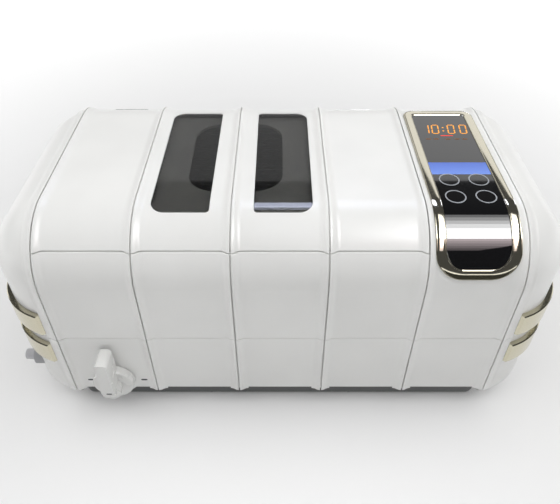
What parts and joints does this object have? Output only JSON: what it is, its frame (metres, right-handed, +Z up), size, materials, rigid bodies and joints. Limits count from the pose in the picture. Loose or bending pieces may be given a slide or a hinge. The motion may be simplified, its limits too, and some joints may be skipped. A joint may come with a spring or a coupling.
{
  "type": "ultrasonic cleaner",
  "caption": "Bench ultrasonic cleaner: ribbed white housing, hinged lid with smoked windows, steel tank and basket, curved control panel, end handles and a drain valve.",
  "frame": {"origin": "on the table under the middle of the overall outline", "axes": "+X to the right of the front along the length, +Y to the back, +Z up"},
  "size_m": [0.4315, 0.2364, 0.1882],
  "materials": {
    "white_shell": "glossy white ABS",
    "grey_pan": "satin light grey ABS",
    "rubber": "matt black rubber",
    "seal_rubber": "soft grey silicone rubber",
    "steel_screw": "zinc-plated steel",
    "smoked_lens": "smoked clear acrylic",
    "liner_grey": "satin grey ABS",
    "stainless": "deep-drawn stainless steel, satin",
    "chrome": "pale champagne chrome",
    "black_glass": "glossy black front panel",
    "printed_silver": "silver print",
    "knob_plastic": "glossy off-white ABS",
    "spout_plastic": "light grey polypropylene",
    "aluminium": "turned aluminium",
    "ceramic": "sintered piezo ceramic with silvered faces",
    "copper": "copper sheet",
    "steel_mass": "turned steel",
    "brass": "machined brass",
    "ptfe": "PTFE",
    "hose": "translucent silicone hose",
    "pcb": "green glass-epoxy board",
    "component": "moulded black plastic",
    "heater": "red silicone heater mat"
  },
  "bodies": {
    "housing": {"upper_housing": "white_shell", "lower_housing": "white_shell", "base_pan": "grey_pan", "base_screws": "steel_screw", "rubber_feet": "rubber", "housing_hinge_leaves": "stainless", "housing_hinge_screws": "steel_screw", "hinge_pins": "steel_screw", "tank": "stainless", "tank_gasket": "seal_rubber", "tank_screws": "steel_screw", "transducer_horns": "aluminium", "piezo_rings": "ceramic", "electrodes": "copper", "back_masses": "steel_mass", "transducer_bolts": "steel_screw", "heater_pad": "heater", "temperature_sensor": "component", "drain_fitting": "brass", "drain_hose": "hose", "valve_body": "brass", "valve_cap": "brass", "valve_seats": "ptfe", "valve_nut": "brass", "stem_seal": "rubber", "drain_spout": "spout_plastic", "spout_grommet": "rubber", "left_upper_handle": "chrome", "left_lower_handle": "chrome", "right_upper_handle": "chrome", "right_lower_handle": "chrome", "handle_screws": "steel_screw", "panel_bezel": "chrome", "panel_glass": "black_glass", "key_rings": "printed_silver", "led_display": "component", "touch_pads": "copper", "control_board": "pcb", "board_screws": "steel_screw", "generator_board": "pcb", "output_transformer": "component", "heat_sink": "aluminium", "capacitors": "component", "fan_frame": "component", "fan_screws": "steel_screw", "mains_inlet": "component", "inlet_blades": "brass", "inlet_screws": "steel_screw"},
    "lid": {"lid_shell": "white_shell", "lid_window": "smoked_lens", "lid_liner": "liner_grey", "liner_screws": "steel_screw", "lid_seal": "seal_rubber", "lid_hinge_leaves": "stainless", "lid_hinge_screws": "steel_screw"},
    "drain_control": {"drain_knob": "knob_plastic", "valve_stem": "brass", "valve_ball": "chrome"},
    "fan": {"fan_rotor": "component"},
    "basket": {"basket": "stainless"}
  },
  "joints": [
    {"name": "lid_hinge", "type": "hinge", "parent": "housing", "child": "lid", "pos_m": [-0.034, 0.11193, 0.16174], "axis": [-1, 0, 0], "range_deg": [0, 95]},
    {"name": "drain_valve_turn", "type": "hinge", "parent": "housing", "child": "drain_control", "pos_m": [-0.136, -0.07465, 0.038], "axis": [0, -1, 0], "range_deg": [0, 90]},
    {"name": "fan_spin", "type": "hinge", "parent": "housing", "child": "fan", "pos_m": [0.136, 0.10285, 0.058], "axis": [0, 1, 0], "continuous": true},
    {"name": "basket_lift", "type": "slide", "parent": "housing", "child": "basket", "axis": [0, 0, 1], "range_m": [0, 0.04]}
  ]
}
